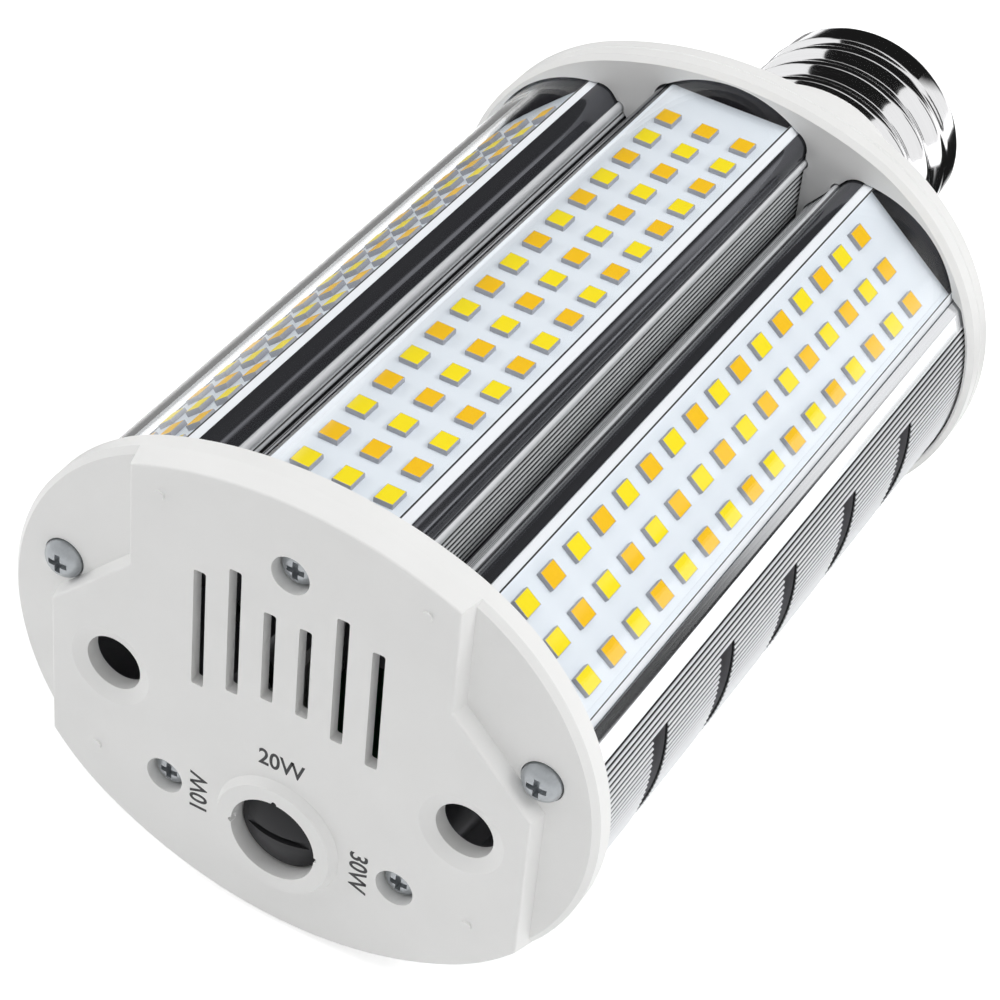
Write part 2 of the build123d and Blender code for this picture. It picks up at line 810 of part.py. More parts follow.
def make_choke():
    ring = Circle(choke_outer_radius) - Circle(choke_inner_radius)
    return on_driver(ring, choke_y, choke_thickness)


def make_film_capacitor():
    block = on_driver(Rectangle(film_length, film_width), film_y, film_height)
    return fillet(block.edges().filter_by(Axis.Z), film_width / 6)


def make_transistor():
    body = on_driver(Rectangle(transistor_width, transistor_thickness), transistor_y, transistor_height)
    tab_y = transistor_y - transistor_thickness / 2
    hole_z = driver_top_z + transistor_height - transistor_width / 3
    return body - rod(transistor_width / 6, (0, hole_z), tab_y, tab_y + transistor_thickness)


def make_shell():
    straight = shell_length - shell_round
    inner = shell_radius - shell_sheet
    outer_path = [(shell_radius, 0), (shell_radius, shell_length), (shell_mouth_radius, shell_length)]
    inner_end = shell_length - shell_sheet
    inner_path = [(shell_mouth_radius, inner_end), (inner, inner_end), (inner, 0)]
    section = make_face(Polyline(*outer_path, *inner_path, close=True))
    corners = section.vertices().filter_by_position(Axis.Y, straight, shell_length)
    corners = corners.filter_by_position(Axis.X, inner - shell_sheet, shell_radius)
    outer = corners.sort_by(Axis.Y)[-1]
    nested = corners.sort_by(Axis.Y)[0]
    section = fillet(outer, shell_round)
    nested = section.vertices().sort_by_distance(nested.center())[0]
    section = fillet(nested, shell_round - shell_sheet)
    return revolve(section, axis=Axis.Y)


def make_insulator():
    seat = shell_length - shell_sheet
    flange = shell_mouth_radius + insulator_flange
    mouth = shell_mouth_radius - screw_gap
    tip = shell_length + insulator_height
    return turned(
        [
            (rivet_radius + screw_gap, seat - insulator_back),
            (flange, seat - insulator_back),
            (flange, seat),
            (mouth, seat),
            (mouth, shell_length),
            (insulator_tip_radius, tip),
            (rivet_radius + screw_gap, tip),
        ]
    )


def make_contact():
    y = shell_length + insulator_height
    edge_y = y + contact_edge
    contact = turned(
        [
            (0, y - rivet_length),
            (rivet_radius, y - rivet_length),
            (rivet_radius, y),
            (contact_radius, y),
            (contact_radius, edge_y),
            (contact_radius / 2, edge_y + contact_dome),
            (0, edge_y + contact_dome),
        ]
    )
    return contact


def make_lead(points):
    """A round lead along straight runs joined by arcs."""
    path = FilletPolyline(*points, radius=lead_bend)
    start = Plane(origin=path @ 0, z_dir=path % 0)
    return sweep(start * Circle(lead_radius), path=path)


def make_led_leads():
    y = y_board_front + lead_setback
    end_y = y_tray + 2 * driver_board_setback
    end_z = driver_top_z + lead_radius
    leads = []
    for tilt in lobes.values():
        x, z = lead_place(tilt, board_face_radius)
        inner_x, inner_z = lead_place(tilt, board_face_radius / 2)
        end_x = inner_x / 2
        leads.append(make_lead([(x, y, z), (inner_x, y, inner_z), (end_x, end_y, end_z)]))
    return Compound(children=leads)


def make_centre_lead():
    start_y = y_sink_back - 4 * driver_board_setback
    end_y = shell_length + insulator_height - rivet_length
    start = (capacitor_radius, start_y, driver_top_z + lead_radius)
    return make_lead([start, (0, -neck_length, 0), (0, end_y, 0)])


def make_shell_lead():
    start_y = y_sink_back - 4 * driver_board_setback
    reach = shell_radius - shell_sheet - lead_radius - screw_gap
    turn = shell_radius - shell_sheet - spigot_wall - 2 * lead_bend
    start = (-capacitor_radius, start_y, driver_top_z + lead_radius)
    return make_lead([start, (-turn, -neck_length, -turn), (-reach, 2 * spigot_length, 0)])


def make_rear_screws():
    seat = y_housing + well_depth
    screws = []
    for place in face_screws:
        screw = make_screw((0, 0), seat, screw_head_radius, screw_head_height, screw_length)
        screws.append(Pos(place[0], 0, place[1]) * turn_round(screw, seat))
    return Compound(children=screws)


def make_front_screws():
    seat = y_face + well_depth
    size = (seat, screw_head_radius, screw_head_height, screw_length)
    return Compound(children=[make_screw(place, *size) for place in face_screws])


def make_ear_screws():
    seat = y_ear + ear_counterbore_depth
    size = (seat, ear_head_radius, ear_head_height, screw_length)
    return Compound(children=[make_screw(place, *size) for place in ear_screws])


def build():
    """Every node of the lamp by name."""
    rear_outline = body_outline(fit_gap - cap_fit_gap) + in_lobes(cover_dome(fit_gap - cap_fit_gap))
    y_shaft = y_flange + shaft_gap
    nodes = {
        "front_cap": make_front_cap(),
        "heat_sink": make_heat_sink(),
        "rear_ring": make_rear_ring(),
        "rear_housing": make_rear_housing(),
        "front_gasket": make_gasket(oval(cap_wall + cap_fit_gap), y_plate_back),
        "rear_gasket": make_gasket(rear_outline, y_sink_back),
        "power_dial": make_dial(),
        "switch_shaft": rod(shaft_radius, (0, dial_z), y_shaft, y_switch + shaft_depth - shaft_gap),
        "rotary_switch": make_rotary_switch(),
        "switch_board": make_switch_board(),
        "switch_board_screws": make_post_screws(),
        "cap_screws": make_front_screws(),
        "ear_screws": make_ear_screws(),
        "rear_screws": make_rear_screws(),
        "driver_tray": make_tray(),
        "driver_board": make_driver_board(),
        "transformer": make_transformer(),
        "bulk_capacitors": make_capacitors(),
        "filter_choke": make_choke(),
        "film_capacitor": make_film_capacitor(),
        "power_transistor": make_transistor(),
        "screw_shell": make_shell(),
        "base_insulator": make_insulator(),
        "centre_contact": make_contact(),
        "led_leads": make_led_leads(),
        "centre_lead": make_centre_lead(),
        "shell_lead": make_shell_lead(),
    }
    for side, tilt in lobes.items():
        nodes[f"led_board_{side}"] = make_board(tilt)
        nodes[f"warm_leds_{side}"] = make_leds(tilt, 0)
        nodes[f"cool_leds_{side}"] = make_leds(tilt, 1)
        nodes[f"cover_{side}"] = make_cover(tilt)
    return nodes


def main():
    os.makedirs("parts", exist_ok=True)
    for name, shape in build().items():
        export_step(shape, f"parts/{name}.step")


if __name__ == "__main__":
    main()
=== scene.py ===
"""Looks of a screw-in LED lamp: finishes, LED packages, screw thread, dial marks and studio."""

import logging
import math
from dataclasses import dataclass
from enum import Enum
from typing import Any, Iterable, Optional, Sequence

import bmesh
import bpy
from mathutils import Matrix, Vector


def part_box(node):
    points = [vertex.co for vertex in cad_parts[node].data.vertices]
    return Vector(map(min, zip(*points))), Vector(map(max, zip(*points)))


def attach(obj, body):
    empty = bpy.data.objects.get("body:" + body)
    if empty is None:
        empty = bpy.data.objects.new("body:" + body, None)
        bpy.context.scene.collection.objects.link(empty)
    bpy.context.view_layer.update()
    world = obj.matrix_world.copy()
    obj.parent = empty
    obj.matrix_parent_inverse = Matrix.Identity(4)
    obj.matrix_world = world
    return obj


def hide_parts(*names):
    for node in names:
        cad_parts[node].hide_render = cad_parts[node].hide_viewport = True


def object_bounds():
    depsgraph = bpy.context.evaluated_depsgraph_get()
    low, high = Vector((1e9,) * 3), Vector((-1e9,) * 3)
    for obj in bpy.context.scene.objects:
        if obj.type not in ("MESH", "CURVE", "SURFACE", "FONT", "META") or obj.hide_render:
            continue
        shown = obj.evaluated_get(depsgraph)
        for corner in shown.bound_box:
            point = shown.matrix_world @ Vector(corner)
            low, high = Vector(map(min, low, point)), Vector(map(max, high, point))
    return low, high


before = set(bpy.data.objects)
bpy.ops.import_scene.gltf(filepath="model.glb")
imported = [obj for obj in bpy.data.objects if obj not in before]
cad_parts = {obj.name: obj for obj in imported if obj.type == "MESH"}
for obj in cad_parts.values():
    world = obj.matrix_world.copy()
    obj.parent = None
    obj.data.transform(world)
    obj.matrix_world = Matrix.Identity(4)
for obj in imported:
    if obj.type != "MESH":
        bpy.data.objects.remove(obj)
CAD_BOX = [list(corner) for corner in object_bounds()]

MM = 0.001
# Octaves of noise: more in clouds and drawn lines, fewer in a fine grain
BROAD_OCTAVES = 3.0
FINE_OCTAVES = 2.0
LOG = logging.getLogger("lamp")


class Body(Enum):
    """The rigid bodies of the lamp."""

    LAMP = "lamp"
    DIAL = "dial"


class Side(Enum):
    """The three lobes of the heat sink, by their tilt in degrees."""

    LEFT = -40.0
    CENTRE = 0.0
    RIGHT = 40.0

    @property
    def word(self) -> str:
        """The lobe's name as it is written in node names."""
        return self.name.lower()


class Tone(Enum):
    """The two colours of LED package, which take turns along a board."""

    WARM = "warm"
    COOL = "cool"


def linear(hex_colour: str) -> tuple[float, float, float, float]:
    """Turn an sRGB hex colour into linear light.

    Args:
        hex_colour: Six hex digits with a leading hash.

    Returns:
        Red, green, blue and an alpha of one.
    """
    channels = []
    for start in (1, 3, 5):
        value = int(hex_colour[start:start + 2], 16) / 255
        channels.append(value / 12.92 if value <= 0.04045 else ((value + 0.055) / 1.055) ** 2.4)
    return channels[0], channels[1], channels[2], 1.0


def add_node(
    tree: bpy.types.NodeTree,
    kind: str,
    settings: Optional[dict[Any, Any]] = None,
    links: Optional[dict[Any, bpy.types.NodeSocket]] = None,
) -> bpy.types.Node:
    """Add a shader node with its settings and links.

    Args:
        tree: The node tree that takes the node.
        kind: The node's type name.
        settings: Attribute names, or input names and places, with their values.
        links: Input names or places with the sockets that feed them.

    Returns:
        The new node.
    """
    node = tree.nodes.new(kind)
    for key, value in (settings or {}).items():
        if isinstance(key, str) and hasattr(node, key):
            setattr(node, key, value)
        else:
            node.inputs[key].default_value = value
    for key, socket in (links or {}).items():
        tree.links.new(socket, node.inputs[key])
    return node


def across_lobe(
    tree: bpy.types.NodeTree, place: bpy.types.NodeSocket, tilt: float, axis: float
) -> bpy.types.NodeSocket:
    """Measure how far a point lies to the right of a lobe's middle plane.

    Args:
        tree: The node tree to add to.
        place: Object coordinates in metres.
        tilt: The lobe's tilt in degrees.
        axis: Height of the fan's axis in millimetres.

    Returns:
        The distance in metres, negative on the left.
    """
    turn = math.radians(tilt)
    reach = add_node(
        tree,
        "ShaderNodeVectorMath",
        {"operation": "DOT_PRODUCT", 1: (math.cos(turn), 0, -math.sin(turn))},
        {0: place},
    )
    return add_node(
        tree,
        "ShaderNodeMath",
        {"operation": "ADD", 1: axis * math.sin(turn) * MM},
        {0: reach.outputs["Value"]},
    ).outputs[0]


def step_at(limit: float, blend: float) -> dict[str, float]:
    """Give the range over which a mask goes from zero to one.

    Args:
        limit: The middle of the step in millimetres.
        blend: How far the step reaches to each side, in millimetres.

    Returns:
        Input settings for a distance in metres.
    """
    return {"From Min": (limit - blend) * MM, "From Max": (limit + blend) * MM}


@dataclass(frozen=True)
class Finish:
    """A surface finish. Sizes are in millimetres and colours are sRGB."""

    name: str
    colour: str
    roughness: float

    def material(self) -> bpy.types.Material:
        """Make the material on first use.

        Returns:
            The finish's material.
        """
        found = bpy.data.materials.get(self.name)
        if found:
            return found
        made = bpy.data.materials.new(self.name)
        made.use_nodes = True
        tree = made.node_tree
        shader = tree.nodes["Principled BSDF"]
        shader.inputs["Base Color"].default_value = linear(self.colour)
        shader.inputs["Roughness"].default_value = self.roughness
        place = add_node(tree, "ShaderNodeTexCoord").outputs["Object"]
        self.detail(tree, shader, place)
        return made

    def detail(
        self, tree: bpy.types.NodeTree, shader: bpy.types.Node, place: bpy.types.NodeSocket
    ) -> None:
        """Add what the finish has beyond a colour and a roughness.

        Args:
            tree: The material's nodes.
            shader: Its Principled shader.
            place: Object coordinates in metres.
        """
        raise NotImplementedError


@dataclass(frozen=True)
class MouldedPlastic(Finish):
    """Moulded plastic or rubber: a fine eroded grain over a faint cloud of colour."""

    shade: str = "#FFFFFF"
    grain: float = 0.35
    grain_height: float = 0.004
    cloud: float = 9.0
    spread: float = 0.06
    ior: float = 1.53
    specular: float = 0.5
    coat: float = 0.0

    def detail(
        self, tree: bpy.types.NodeTree, shader: bpy.types.Node, place: bpy.types.NodeSocket
    ) -> None:
        """Lay the cloud on the colour and the grain on the gloss and the surface.

        Args:
            tree: The material's nodes.
            shader: Its Principled shader.
            place: Object coordinates in metres.
        """
        cloud = add_node(
            tree,
            "ShaderNodeTexNoise",
            {"Scale": 1 / (self.cloud * MM), "Detail": BROAD_OCTAVES},
            {"Vector": place},
        )
        tint = add_node(
            tree,
            "ShaderNodeMix",
            {"data_type": "RGBA", 6: linear(self.colour), 7: linear(self.shade)},
            {0: cloud.outputs[0]},
        )
        grain = add_node(
            tree,
            "ShaderNodeTexNoise",
            {"Scale": 1 / (self.grain * MM), "Detail": FINE_OCTAVES},
            {"Vector": place},
        )
        gloss = add_node(
            tree,
            "ShaderNodeMapRange",
            {"To Min": self.roughness - self.spread, "To Max": self.roughness + self.spread},
            {"Value": grain.outputs[0]},
        )
        bump = add_node(
            tree,
            "ShaderNodeBump",
            {"Distance": self.grain_height * MM},
            {"Height": grain.outputs[0]},
        )
        shader.inputs["IOR"].default_value = self.ior
        shader.inputs["Specular IOR Level"].default_value = self.specular
        shader.inputs["Coat Weight"].default_value = self.coat
        tree.links.new(tint.outputs[2], shader.inputs["Base Color"])
        tree.links.new(gloss.outputs["Result"], shader.inputs["Roughness"])
        tree.links.new(bump.outputs["Normal"], shader.inputs["Normal"])


@dataclass(frozen=True)
class WorkedMetal(Finish):
    """Bare or plated metal with fine lines left by a die, a roll or a lathe."""

    shade: str = "#FFFFFF"
    grain: tuple[float, float, float] = (0.3, 60.0, 0.3)
    grain_height: float = 0.0015
    spread: float = 0.05
    metallic: float = 1.0
    harshness: float = 0.6

    def detail(
        self, tree: bpy.types.NodeTree, shader: bpy.types.Node, place: bpy.types.NodeSocket
    ) -> None:
        """Stretch a noise along the lines and lay it on colour, gloss and surface.

        Args:
            tree: The material's nodes.
            shader: Its Principled shader.
            place: Object coordinates in metres.
        """
        lines = add_node(
            tree,
            "ShaderNodeMapping",
            {"vector_type": "POINT", "Scale": [1 / (size * MM) for size in self.grain]},
            {"Vector": place},
        )
        noise = add_node(
            tree,
            "ShaderNodeTexNoise",
            {"Scale": 1.0, "Detail": BROAD_OCTAVES, "Roughness": self.harshness},
            {"Vector": lines.outputs["Vector"]},
        )
        tint = add_node(
            tree,
            "ShaderNodeMix",
            {"data_type": "RGBA", 6: linear(self.colour), 7: linear(self.shade)},
            {0: noise.outputs[0]},
        )
        gloss = add_node(
            tree,
            "ShaderNodeMapRange",
            {"To Min": self.roughness - self.spread, "To Max": self.roughness + self.spread},
            {"Value": noise.outputs[0]},
        )
        bump = add_node(
            tree,
            "ShaderNodeBump",
            {"Distance": self.grain_height * MM},
            {"Height": noise.outputs[0]},
        )
        shader.inputs["Metallic"].default_value = self.metallic
        tree.links.new(tint.outputs[2], shader.inputs["Base Color"])
        tree.links.new(gloss.outputs["Result"], shader.inputs["Roughness"])
        tree.links.new(bump.outputs["Normal"], shader.inputs["Normal"])


@dataclass(frozen=True)
class ExtrudedMetal(WorkedMetal):
    """Extruded metal: inner rails darkened as painted shade, satin ribs, and painted shade in
    the grooves and hollows.

    Limits come in pairs: one on the round flanks and one on the lobes' walls in the valleys.
    """

    ribbed: float = 0.42
    ribbed_metallic: tuple[float, float] = (0.45, 0.05)
    # Painted shade: near black in the grooves between ribs, grey deeper inside, darker on the
    # inner rails
    painted_groove_shade: str = "#1C1C1E"
    inside: str = "#8A8A8E"
    painted_rail_shade: str = "#6A6B70"
    shaded_rail_metallic: float = 0.8
    axis: float = -17.26
    reach: float = 49.4
    foot: float = 11.0
    lobe_half: float = 13.7
    inner_rails: float = 33.0
    flank_centre: tuple[float, float, float] = (10.32, 0.0, 0.26)
    crests: tuple[float, float] = (35.95, 13.41)
    roots: tuple[float, float] = (35.6, 12.95)
    blend: float = 0.06

    def from_lobes(
        self, tree: bpy.types.NodeTree, place: bpy.types.NodeSocket
    ) -> bpy.types.NodeSocket:
        """Measure how far a point lies from the nearest lobe's middle plane.

        Args:
            tree: The material's nodes.
            place: Object coordinates in metres.

        Returns:
            The distance in metres.
        """
        nearest: Optional[bpy.types.NodeSocket] = None
        for side in Side:
            across = across_lobe(tree, place, side.value, self.axis)
            size = add_node(
                tree, "ShaderNodeMath", {"operation": "ABSOLUTE"}, {0: across}
            ).outputs[0]
            if nearest:
                size = add_node(
                    tree, "ShaderNodeMath", {"operation": "MINIMUM"}, {0: nearest, 1: size}
                ).outputs[0]
            nearest = size
        return nearest

    def from_flanks(
        self, tree: bpy.types.NodeTree, out: bpy.types.NodeSocket, height: bpy.types.NodeSocket
    ) -> bpy.types.NodeSocket:
        """Measure how far a point lies from the centre of its side's round flank.

        Args:
            tree: The material's nodes.
            out: The distance from the middle of the sink, in metres.
            height: The height, in metres.

        Returns:
            The distance in metres.
        """
        folded = add_node(tree, "ShaderNodeCombineXYZ", links={"X": out, "Z": height})
        distance = add_node(
            tree,
            "ShaderNodeVectorMath",
            {"operation": "DISTANCE", 1: [size * MM for size in self.flank_centre]},
            {0: folded.outputs[0]},
        )
        return distance.outputs["Value"]

    def detail(
        self, tree: bpy.types.NodeTree, shader: bpy.types.Node, place: bpy.types.NodeSocket
    ) -> None:
        """Lay the die lines, paint shade on the inner rails, dull the ribbed walls and paint
        shade into their grooves and the hollows.

        Args:
            tree: The material's nodes.
            shader: Its Principled shader.
            place: Object coordinates in metres.
        """
        super().detail(tree, shader, place)
        bright = shader.inputs["Base Color"].links[0].from_socket
        arm = add_node(
            tree,
            "ShaderNodeMapping",
            {"vector_type": "POINT", "Location": (0, 0, -self.axis * MM), "Scale": (1, 0, 1)},
            {"Vector": place},
        )
        distance = add_node(
            tree, "ShaderNodeVectorMath", {"operation": "LENGTH"}, {0: arm.outputs["Vector"]}
        ).outputs["Value"]
        parts = add_node(tree, "ShaderNodeSeparateXYZ", links={0: place})
        height = parts.outputs["Z"]
        out = add_node(
            tree, "ShaderNodeMath", {"operation": "ABSOLUTE"}, {0: parts.outputs["X"]}
        ).outputs[0]
        nearest = self.from_lobes(tree, place)
        flank = self.from_flanks(tree, out, height)
        outside, over, beside, outer = (
            add_node(
                tree, "ShaderNodeMapRange", step_at(limit, self.blend), {"Value": value}
            ).outputs["Result"]
            for value, limit in (
                (distance, self.reach),
                (height, self.foot),
                (nearest, self.lobe_half),
                (out, self.inner_rails),
            )
        )
        polished = add_node(
            tree, "ShaderNodeMath", {"operation": "MINIMUM"}, {0: outside, 1: over}
        ).outputs[0]
        flat = add_node(
            tree, "ShaderNodeMath", {"operation": "MAXIMUM"}, {0: beside, 1: outer}
        ).outputs[0]
        # Painted shade: the inner rails in the valleys take a darker colour and less metal
        rails = add_node(
            tree,
            "ShaderNodeMix",
            {"data_type": "RGBA", 6: linear(self.painted_rail_shade)},
            {0: flat, 7: bright},
        )
        ribs = bright
        # Painted shade: the grooves between the ribs turn near black and the hollows deeper in
        # turn grey
        for colour, limits in ((self.painted_groove_shade, self.crests), (self.inside, self.roots)):
            on_flank, in_valley = (
                add_node(
                    tree, "ShaderNodeMapRange", step_at(limit, self.blend), {"Value": value}
                ).outputs["Result"]
                for value, limit in zip((flank, nearest), limits)
            )
            beyond = add_node(
                tree,
                "ShaderNodeMix",
                {"data_type": "FLOAT"},
                {0: over, 2: on_flank, 3: in_valley},
            )
            ribs = add_node(
                tree,
                "ShaderNodeMix",
                {"data_type": "RGBA", 6: linear(colour)},
                {0: beyond.outputs[0], 7: ribs},
            ).outputs[2]
        tint = add_node(
            tree,
            "ShaderNodeMix",
            {"data_type": "RGBA"},
            {0: polished, 6: ribs, 7: rails.outputs[2]},
        )
        gloss = add_node(
            tree,
            "ShaderNodeMix",
            {"data_type": "FLOAT", 2: self.ribbed},
            {0: polished, 3: shader.inputs["Roughness"].links[0].from_socket},
        )
        dull = add_node(
            tree,
            "ShaderNodeMapRange",
            {"To Min": self.ribbed_metallic[0], "To Max": self.ribbed_metallic[1]},
            {"Value": over},
        )
        rail_metallic = add_node(
            tree, "ShaderNodeMapRange", {"To Min": self.shaded_rail_metallic}, {"Value": flat}
        )
        bare = add_node(
            tree,
            "ShaderNodeMix",
            {"data_type": "FLOAT"},
            {0: polished, 2: dull.outputs["Result"], 3: rail_metallic.outputs["Result"]},
        )
        tree.links.new(tint.outputs[2], shader.inputs["Base Color"])
        tree.links.new(gloss.outputs[0], shader.inputs["Roughness"])
        tree.links.new(bare.outputs[0], shader.inputs["Metallic"])


@dataclass(frozen=True)
class ClearPlastic(Finish):
    """Clear plastic with faint flow lines, extruded together with white edges, and a painted
    shadow line where it meets the board.
    """

    tilt: float = 0.0
    both_edges: bool = False
    axis: float = -17.26
    seam: float = 10.28
    # Painted shadow: from seam to edge a dark line where the cover meets the board
    contact_shadow_colour: str = "#1E1E20"
    edge: float = 10.5
    edge_colour: str = "#F1F4F8"
    edge_roughness: float = 0.35
    blend: float = 0.04
    ior: float = 1.25
    grain: tuple[float, float, float] = (1.2, 90.0, 1.2)
    grain_height: float = 0.002

    def whiten_edges(
        self, tree: bpy.types.NodeTree, shader: bpy.types.Node, place: bpy.types.NodeSocket
    ) -> None:
        """Turn the plastic white beyond a painted shadow line along the board, measured across
        the cover's own lobe.

        Args:
            tree: The material's nodes.
            shader: Its Principled shader.
            place: Object coordinates in metres.
        """
        across = across_lobe(tree, place, self.tilt, self.axis)
        if self.both_edges:
            across = add_node(
                tree, "ShaderNodeMath", {"operation": "ABSOLUTE"}, {0: across}
            ).outputs[0]
        tint: Optional[bpy.types.NodeSocket] = None
        # Paint the dark shadow line where the cover meets the board, then turn the edge white
        for limit, colour in ((self.seam, self.contact_shadow_colour), (self.edge, self.edge_colour)):
            share = add_node(
                tree, "ShaderNodeMapRange", step_at(limit, self.blend), {"Value": across}
            )
            before = {6: tint} if tint else {}
            tint = add_node(
                tree,
                "ShaderNodeMix",
                {"data_type": "RGBA", 6: linear(self.colour), 7: linear(colour)},
                {0: share.outputs["Result"], **before},
            ).outputs[2]
        for name, clear, white in (
            ("Transmission Weight", 1.0, 0.0),
            ("Roughness", self.roughness, self.edge_roughness),
        ):
            share = add_node(
                tree,
                "ShaderNodeMapRange",
                {**step_at(self.seam, self.blend), "To Min": clear, "To Max": white},
                {"Value": across},
            )
            tree.links.new(share.outputs["Result"], shader.inputs[name])
        tree.links.new(tint, shader.inputs["Base Color"])

    def detail(
        self, tree: bpy.types.NodeTree, shader: bpy.types.Node, place: bpy.types.NodeSocket
    ) -> None:
        """Make the shader clear between white edges and lay the flow lines on the surface.

        Args:
            tree: The material's nodes.
            shader: Its Principled shader.
            place: Object coordinates in metres.
        """
        lines = add_node(
            tree,
            "ShaderNodeMapping",
            {"vector_type": "POINT", "Scale": [1 / (size * MM) for size in self.grain]},
            {"Vector": place},
        )
        noise = add_node(
            tree,
            "ShaderNodeTexNoise",
            {"Scale": 1.0, "Detail": FINE_OCTAVES},
            {"Vector": lines.outputs["Vector"]},
        )
        bump = add_node(
            tree,
            "ShaderNodeBump",
            {"Distance": self.grain_height * MM},
            {"Height": noise.outputs[0]},
        )
        shader.inputs["IOR"].default_value = self.ior
        shader.inputs["Transmission Weight"].default_value = 1.0
        self.whiten_edges(tree, shader, place)
        tree.links.new(bump.outputs["Normal"], shader.inputs["Normal"])


@dataclass(frozen=True)
class PhosphorGel(Finish):
    """Silicone filled with phosphor grains, which show as fine speckle."""

    shade: str = "#FFFFFF"
    speckle: float = 0.25
    ior: float = 1.41

    def detail(
        self, tree: bpy.types.NodeTree, shader: bpy.types.Node, place: bpy.types.NodeSocket
    ) -> None:
        """Speckle the colour and give the gel its soft gloss.

        Args:
            tree: The material's nodes.
            shader: Its Principled shader.
            place: Object coordinates in metres.
        """
        grains = add_node(
            tree,
            "ShaderNodeTexVoronoi",
            {"Scale": 1 / (self.speckle * MM)},
            {"Vector": place},
        )
        tint = add_node(
            tree,
            "ShaderNodeMix",
            {"data_type": "RGBA", 6: linear(self.colour), 7: linear(self.shade)},
            {0: grains.outputs["Distance"]},
        )
        shader.inputs["IOR"].default_value = self.ior
        tree.links.new(tint.outputs[2], shader.inputs["Base Color"])


# Injection-moulded polycarbonate: satin white with a very fine eroded grain
CAP_PLASTIC = MouldedPlastic("moulded white polycarbonate", "#EDEDEC", 0.42, shade="#F3F3F2")
# Extruded aluminium: polished faces mirror the studio along the die lines and the ribs stay
# satin. Painted shade darkens the inner rails, turns the grooves between the ribs nearly black
# and greys the hollows deeper in
SINK_METAL = ExtrudedMetal(
    "polished extruded aluminium", "#DFE1E4", 0.13, shade="#F2F3F5", spread=0.03
)
# Extruded acrylic: clear over the board, with white edges that sit in the rails. The photograph
# shows them on the right of each cover, and on both sides of the right one
COVER_PLASTICS = {
    side: ClearPlastic(
        f"extruded clear acrylic {side.word}",
        "#FFFFFF",
        0.02,
        tilt=side.value,
        both_edges=side is Side.RIGHT,
    )
    for side in Side
}
# Printed solder resist on an aluminium board: smooth, slightly blue white. Its grain is too fine
# to show in the render, so it is drawn coarser
BOARD_RESIST = MouldedPlastic(
    "white solder resist",
    "#EDF4FB",
    0.33,
    shade="#E9F1F9",
    grain=0.8,
    grain_height=0.001,
    cloud=6.0,
)
# Moulded white reflector plastic round each LED: matt, and drawn mid grey as painted shade on
# the packages' sides and rim
LED_PLASTIC = MouldedPlastic(
    "moulded white reflector plastic", "#A6A8AF", 0.45, shade="#AEB0B6", cloud=2.0
)
# Phosphor in silicone over the LED chips: strong yellow with a fine speckle
PHOSPHORS = {
    Tone.WARM: PhosphorGel("warm phosphor silicone", "#FFCC0A", 0.4, shade="#FAC206"),
    Tone.COOL: PhosphorGel("cool phosphor silicone", "#FFEC12", 0.4, shade="#FFE50C"),
}
# Moulded nylon: nearly black, with a dull sheen
DIAL_PLASTIC = MouldedPlastic(
    "moulded black nylon", "#343436", 0.5, shade="#2C2C2E", grain=0.3, specular=0.15
)
# Zinc-plated steel screws: cool grey, with the plating's milky film over the metal
SCREW_METAL = WorkedMetal(
    "zinc-plated steel", "#9A9EA2", 0.3, shade="#AEB2B5", grain=(0.4, 2.0, 0.4), metallic=0.5
)
# Rolled brass shell under bright nickel: a mirror with lines round it
SHELL_METAL = WorkedMetal(
    "bright nickel-plated brass",
    "#E3E3E4",
    0.1,
    shade="#EFEFF0",
    grain=(40.0, 0.35, 40.0),
    spread=0.02,
)
# Pressed brass: warm yellow with an even, soft gloss
CONTACT_METAL = WorkedMetal(
    "pressed brass", "#C9A65A", 0.28, shade="#D8BB74", grain=(1.5, 1.5, 1.5)
)
# Turned steel: plain grey with rings from the lathe
STEEL = WorkedMetal("turned steel", "#A9ABAD", 0.3, shade="#BCBEC0", grain=(8.0, 0.3, 8.0))
# Moulded silicone rubber: dark and nearly matt
SEAL_RUBBER = MouldedPlastic(
    "moulded silicone rubber", "#3A393E", 0.55, shade="#434247", grain=0.5, specular=0.2
)
# Moulded phenolic: black with a hard gloss
INSULATOR = MouldedPlastic(
    "moulded black phenolic", "#1B1B1D", 0.25, shade="#222225", cloud=4.0, coat=0.3
)
# Moulded polycarbonate inside the body: plain grey, half matt
TRAY_PLASTIC = MouldedPlastic("moulded grey polycarbonate", "#C4C5C3", 0.5, shade="#CBCCCA")
# Glass-epoxy board: green under a clear lacquer
GLASS_BOARD = MouldedPlastic(
    "green glass-epoxy board", "#1E5A35", 0.35, shade="#276A40", grain=0.6, coat=0.4
)
# Sintered ferrite: charcoal grey with a coarse, dull surface
FERRITE = MouldedPlastic(
    "sintered ferrite", "#2B2B2E", 0.6, shade="#353538", grain=0.5, grain_height=0.01
)
# Shrink sleeve: dark blue film with a gloss
CAN_SLEEVE = MouldedPlastic("blue shrink sleeve", "#20365F", 0.3, shade="#2A4272", coat=0.3)
# Moulded epoxy: black, half matt
EPOXY = MouldedPlastic("moulded black epoxy", "#202022", 0.5, shade="#29292B")
# Extruded silicone on the leads: full colours with a dull sheen
RED_WIRE = MouldedPlastic("red silicone insulation", "#A3211E", 0.45, shade="#B02A26")
BLACK_WIRE = MouldedPlastic(
    "black silicone insulation", "#17171A", 0.5, shade="#1E1E21", specular=0.2
)
WHITE_WIRE = MouldedPlastic("white silicone insulation", "#E4E4E2", 0.45, shade="#ECECEA")
# Pad-printed ink: dense black with a dry edge
PRINT_INK = MouldedPlastic(
    "black pad-printed ink", "#141416", 0.55, shade="#1C1C1E", grain=0.15, cloud=1.0
)


def dress(finish: Finish, *nodes: str) -> None:
    """Give CAD nodes a finish.

    Args:
        finish: The finish to lay on.
        nodes: Names of the nodes.
    """
    for name in nodes:
        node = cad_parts[name]
        node.data.materials.clear()
        node.data.materials.append(finish.material())
        LOG.info("dressed %s in %s", name, finish.name)


